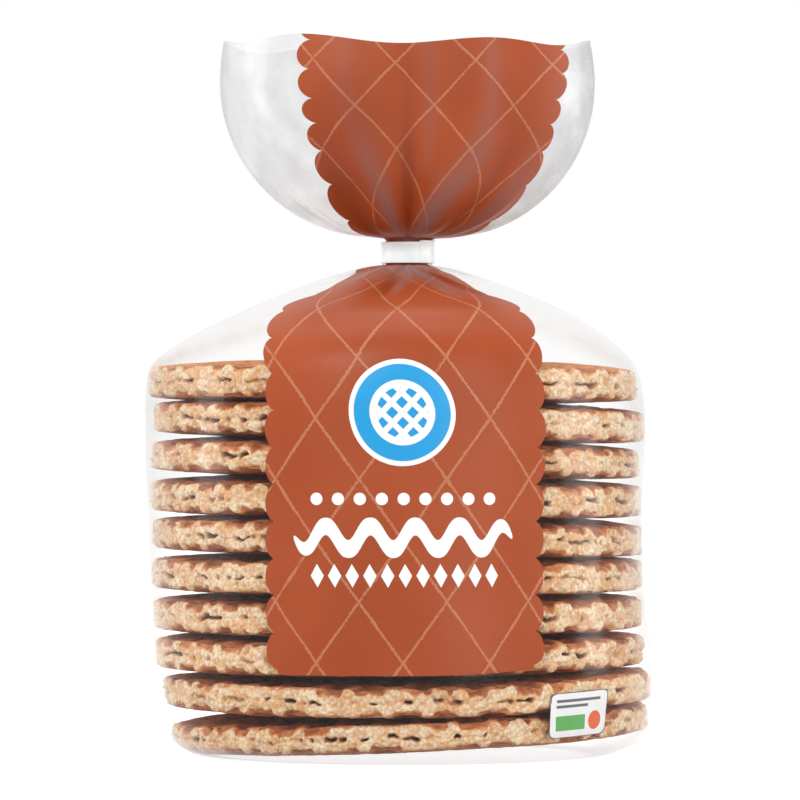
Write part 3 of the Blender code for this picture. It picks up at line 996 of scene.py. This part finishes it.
def build_waffle(number, settings, material, rim_store):
    """One waffle: rings of points over its lower face, up its broken side and over its upper face.

    Noise is read at the waffle's own place in a made-up stack, so that no two waffles are alike.
    """
    middle, right_up, bend, thickness, shift, radius = settings
    seed = 17 * number + 5
    plan = [(share, count, -1) for share, count in ring_plan(number == len(WAFFLES) - 1)]
    plan += [(i / (SIDE_ROWS - 1), AROUND, 0) for i in range(SIDE_ROWS)]
    plan += [(share, count, 1) for share, count in ring_plan(number == 0)[::-1]]
    counts = [count for share, count, face in plan]
    starts = np.concatenate([[1], 1 + np.cumsum(counts)]).astype(int).tolist()
    rings = [[(0.0, 0.0, -1.0)]]
    for share, count, face in plan:
        rings.append([(2 * math.pi * k / count, share, face) for k in range(count)])
    rings.append([(0.0, 0.0, 1.0)])
    angle, share, face = np.array([place_on for ring in rings for place_on in ring]).T
    on_side = face == 0
    reach = np.where(on_side, 1.0, share)
    direction = np.column_stack([np.cos(angle), np.sin(angle), np.zeros(len(angle))])
    rim_line = direction * radius + np.array([0, 0, NOISE_STEP * number])
    outline = radius + 0.40 * noise(rim_line, 17.0, seed) + 0.30 * noise(rim_line, 6.0, seed + 1)
    outline += 0.18 * noise(rim_line, 2.6, seed + 2)
    edge = direction[:, :2] * (outline * reach)[:, None]
    near_edge = edge * np.where(on_side, 0.965, 1.0)[:, None]
    top_well = well(near_edge, 0.35 + 0.47 * number, 1.3 * number)
    base_well = well(near_edge, 1.1 + 0.61 * number, 2.1 * number)
    # The faces swell from the rim to the middle, where the waffles rest on each other.
    half = thickness / 2 + 0.70 * (1 - smooth_step(0.60, 0.98, reach))
    half -= 0.45 * np.clip((reach - 0.88) / 0.12, 0, 1) ** 2
    slow = 0.18 * noise(np.column_stack([edge, np.zeros(len(edge))]), 11.0, seed + 3)
    depth = GRID_DEPTH * (1 - 0.45 * smooth_step(0.85, 1.0, reach))
    top = half + slow - depth * top_well
    base = -half + slow * 0.6 + depth * base_well
    height = np.where(face > 0, top, np.where(face < 0, base, base + (top - base) * share))
    from_top = np.where(on_side, top - height, 9.0)
    from_base = np.where(on_side, height - base, 9.0)
    pull = np.zeros(len(angle))
    for away, hollow in ((from_top, top_well), (from_base, base_well)):
        corner = 0.85 + 0.75 * hollow
        inside = np.clip(1 - away / corner, 0, 1)
        pull = np.maximum(pull, corner * 0.80 * (1 - np.sqrt(1 - inside**2)))
    body = np.column_stack([edge, height + NOISE_STEP * number])
    ragged = 0.34 * noise(body, 1.1, seed + 4) + 0.22 * noise(body, 0.5, seed + 20)
    patch = 0.40 * noise(rim_line, 3.6, seed + 5)
    toast_top = (0.02 if number else -0.30) + 0.72 * smooth_step(0.1, 0.9, top_well) + patch
    toast_base = -0.12 + 0.48 * smooth_step(0.1, 0.9, base_well) - 0.5 * patch
    toast = np.maximum(
        smooth_step(0.50, -0.55, from_top + ragged - toast_top),
        smooth_step(0.50, -0.50, from_base + ragged - toast_base),
    )
    toast = np.where(on_side, toast, 1.0 - 0.25 * np.where(face > 0, 1 - top_well, 1 - base_well))
    if number == 0:
        toast = toast * 0.75
    crumbly = np.where(on_side, 1 - 0.72 * toast, 0.10)
    distance = grains(body, 1.05, seed)[0]
    fine_distance, fine_value = grains(body, 0.58, seed + 9)
    crumb = 0.30 * noise(body, 2.6, seed + 7) + 0.16 * noise(body, 1.3, seed + 8)
    crumb += 0.28 * (0.55 - distance) + 0.46 * (0.5 - fine_distance) + 0.20 * (fine_value - 0.5)
    # Clefts open between the two layers in short stretches, and syrup fills some of them.
    flat_line = direction * radius
    opening = 0.70 * noise(flat_line, 2.6, seed + 10) + 0.50 * noise(flat_line, 0.9, seed + 11)
    opening = smooth_step(0.08, 0.36, opening)
    level = (top + base) / 2 + 0.40 * noise(flat_line, 4.2, seed + 12)
    level += 0.22 * noise(flat_line, 1.0, seed + 13)
    gape = 0.30 + 0.17 * noise(flat_line, 1.9, seed + 14)
    slot = np.where(on_side, np.exp(-(((height - level) / gape) ** 2)), 0.0)
    filled = noise(flat_line, 7.5, seed + 15) + 0.12 * noise(flat_line, 1.5, seed + 16)
    filled = smooth_step(0.22, 0.50, filled)
    groove = (0.22 * slot + 2.2 * slot**1.4 * opening) * (1 - 0.72 * filled)
    amount = np.where(on_side, crumb * crumbly - pull - groove, 0.0)
    points = np.column_stack([edge, height]) + direction * amount[:, None]
    points[:, 2] += np.where(on_side, 0.22, 0.07) * noise(body, 0.9, seed + 17)
    across = points[:, 0] / radius
    points[:, 2] += middle + right_up / 2 * across + bend * across**2
    points[:, 2] += 0.12 * noise(np.column_stack([points[:, :2], np.zeros(len(points))]), 30.0, seed + 19)
    points[:, 0] += shift
    points[:, 1] += 0.4 * math.sin(2.3 * number)
    points = inside_film(points) + SHIFT
    faces = [(0, 1 + (k + 1) % counts[0], 1 + k) for k in range(counts[0])]
    for i in range(len(plan) - 1):
        stitch(faces, starts[i], counts[i], starts[i + 1], counts[i + 1])
    last, tip = starts[-2:]
    faces += [(tip, last + k, last + (k + 1) % counts[-1]) for k in range(counts[-1])]
    waffle = mesh_object(f"waffle_{number + 1:02d}", points, faces, material)
    add_attribute(waffle, "toast", toast)
    add_attribute(waffle, "cleft", np.clip(slot * opening * (1 - filled) * 1.3 - 0.2, 0, 1))
    add_attribute(waffle, "syrup", slot * opening * filled)
    # The side's relief, which the material turns into painted shade in hollows and a painted highlight on
    # raised crumb.
    add_attribute(waffle, "lift", (crumb - 0.5 * groove) * crumbly * on_side)
    place(waffle, "waffle")
    keep = on_side & (toast < 0.6) & (slot < 0.4)
    rim_store.append((points[keep], direction[keep]))


def build_crumbs(rim_store, material):
    """Loose grains that cling to the broken sides, as one mesh."""
    random = np.random.default_rng(7)
    golden = (1 + math.sqrt(5)) / 2
    corners = [(-1, golden, 0), (1, golden, 0), (-1, -golden, 0), (1, -golden, 0)]
    corners += [(0, -1, golden), (0, 1, golden), (0, -1, -golden), (0, 1, -golden)]
    corners += [(golden, 0, -1), (golden, 0, 1), (-golden, 0, -1), (-golden, 0, 1)]
    corners = np.array(corners, float) / math.hypot(1, golden)
    triangles = (
        (0, 11, 5), (0, 5, 1), (0, 1, 7), (0, 7, 10), (0, 10, 11), (1, 5, 9), (5, 11, 4), (11, 10, 2),
        (10, 7, 6), (7, 1, 8), (3, 9, 4), (3, 4, 2), (3, 2, 6), (3, 6, 8), (3, 8, 9), (4, 9, 5),
        (2, 4, 11), (6, 2, 10), (8, 6, 7), (9, 8, 1),
    )
    points, faces, lifts = [], [], []
    for rim_points, rim_out in rim_store:
        picked = random.choice(len(rim_points), CRUMBS_EACH, replace=False)
        for at, out in zip(rim_points[picked], rim_out[picked]):
            size = 0.10 + 0.15 * random.random() ** 2
            lump = corners * size * random.uniform(0.7, 1.25, (12, 3))
            faces += [tuple(len(points) * 12 + i for i in triangle) for triangle in triangles]
            points.append(inside_film(lump + at + out * size * 0.5 - SHIFT) + SHIFT)
            lifts.append(random.uniform(0.0, 0.75))
    crumbs = mesh_object("waffle_crumbs", np.array(points).reshape(-1, 3), faces, material, smooth=False)
    add_attribute(crumbs, "lift", np.repeat(lifts, 12))
    for name in ("toast", "cleft", "syrup"):
        add_attribute(crumbs, name, np.zeros(len(points) * 12))
    place(crumbs, "waffle")


# ---- stage
def build_floor():
    """A pale floor that shows white and keeps a soft shadow."""
    n = Nodes("floor")
    lit = n.add("BsdfDiffuse", Color=(0.55, 0.55, 0.55, 1.0)).outputs[0]
    glow = n.add("Emission", Color=WHITE, Strength=n.times(n.seen(), 0.92)).outputs[0]
    material = n.finish(n.add("AddShader", (lit, glow)).outputs[0])
    size, level = 3000.0, -0.05
    points = [(-size, -size, level), (size, -size, level), (size, size, level), (-size, size, level)]
    mesh_object("floor", points, [(0, 1, 2, 3)], material, smooth=False)


def add_lamp(name, place_at, aim, size, energy):
    """A soft white lamp that points at aim."""
    lamp = bpy.data.lights.new(name, "AREA")
    lamp.shape = "RECTANGLE"
    lamp.size, lamp.size_y = size
    lamp.energy = energy
    holder = new_object(name, lamp)
    holder.location = place_at
    holder.rotation_euler = (Vector(aim) - Vector(place_at)).to_track_quat("-Z", "Y").to_euler()


def build_lights():
    """A world that shows white and lights evenly, and soft lamps round the bag."""
    world = bpy.data.worlds.new("studio")
    bpy.context.scene.world = world
    n = Nodes("studio", world)
    ambient = n.add("Background", Color=WHITE, Strength=0.34).outputs[0]
    white = n.add("Background", Color=WHITE, Strength=1.0).outputs[0]
    n.finish(n.blend(n.seen(), ambient, white))
    aim = (0.0, 0.0, 0.06)
    for name, place_at, size, energy in (
        ("front_key", (-0.35, -0.9, 0.55), (0.5, 0.4), 4.7),
        ("front_fill", (0.55, -0.8, 0.20), (0.4, 0.5), 2.6),
        ("side_left", (-0.62, 0.02, 0.12), (0.22, 0.40), 1.5),
        ("side_right", (0.62, 0.02, 0.12), (0.22, 0.40), 1.5),
        ("top_soft", (0.0, 0.05, 0.85), (0.6, 0.6), 2.6),
    ):
        add_lamp(name, place_at, aim, size, energy)


def build_camera():
    """A long lens level with the middle of the bag."""
    camera = bpy.data.cameras.new("camera")
    camera.sensor_width = 36.0
    distance, view_width = 1.15, 0.1394
    camera.lens = camera.sensor_width * distance / view_width
    holder = new_object("camera", camera)
    holder.location = (SHIFT[0] * MM, SHIFT[1] * MM - distance, 0.0617)
    holder.rotation_euler = (math.radians(90), 0.0, 0.0)
    bpy.context.scene.camera = holder
    bpy.context.scene.view_settings.view_transform = "Standard"


def main():
    build_camera()
    build_lights()
    build_floor()
    build_film()
    build_print(printed_film())
    build_ornament()
    build_sticker()
    build_seam()
    build_tie()
    waffle_material = baked_waffle()
    rim_store = []
    for number, settings in enumerate(WAFFLES):
        build_waffle(number, settings, waffle_material, rim_store)
    build_crumbs(rim_store, waffle_material)


main()
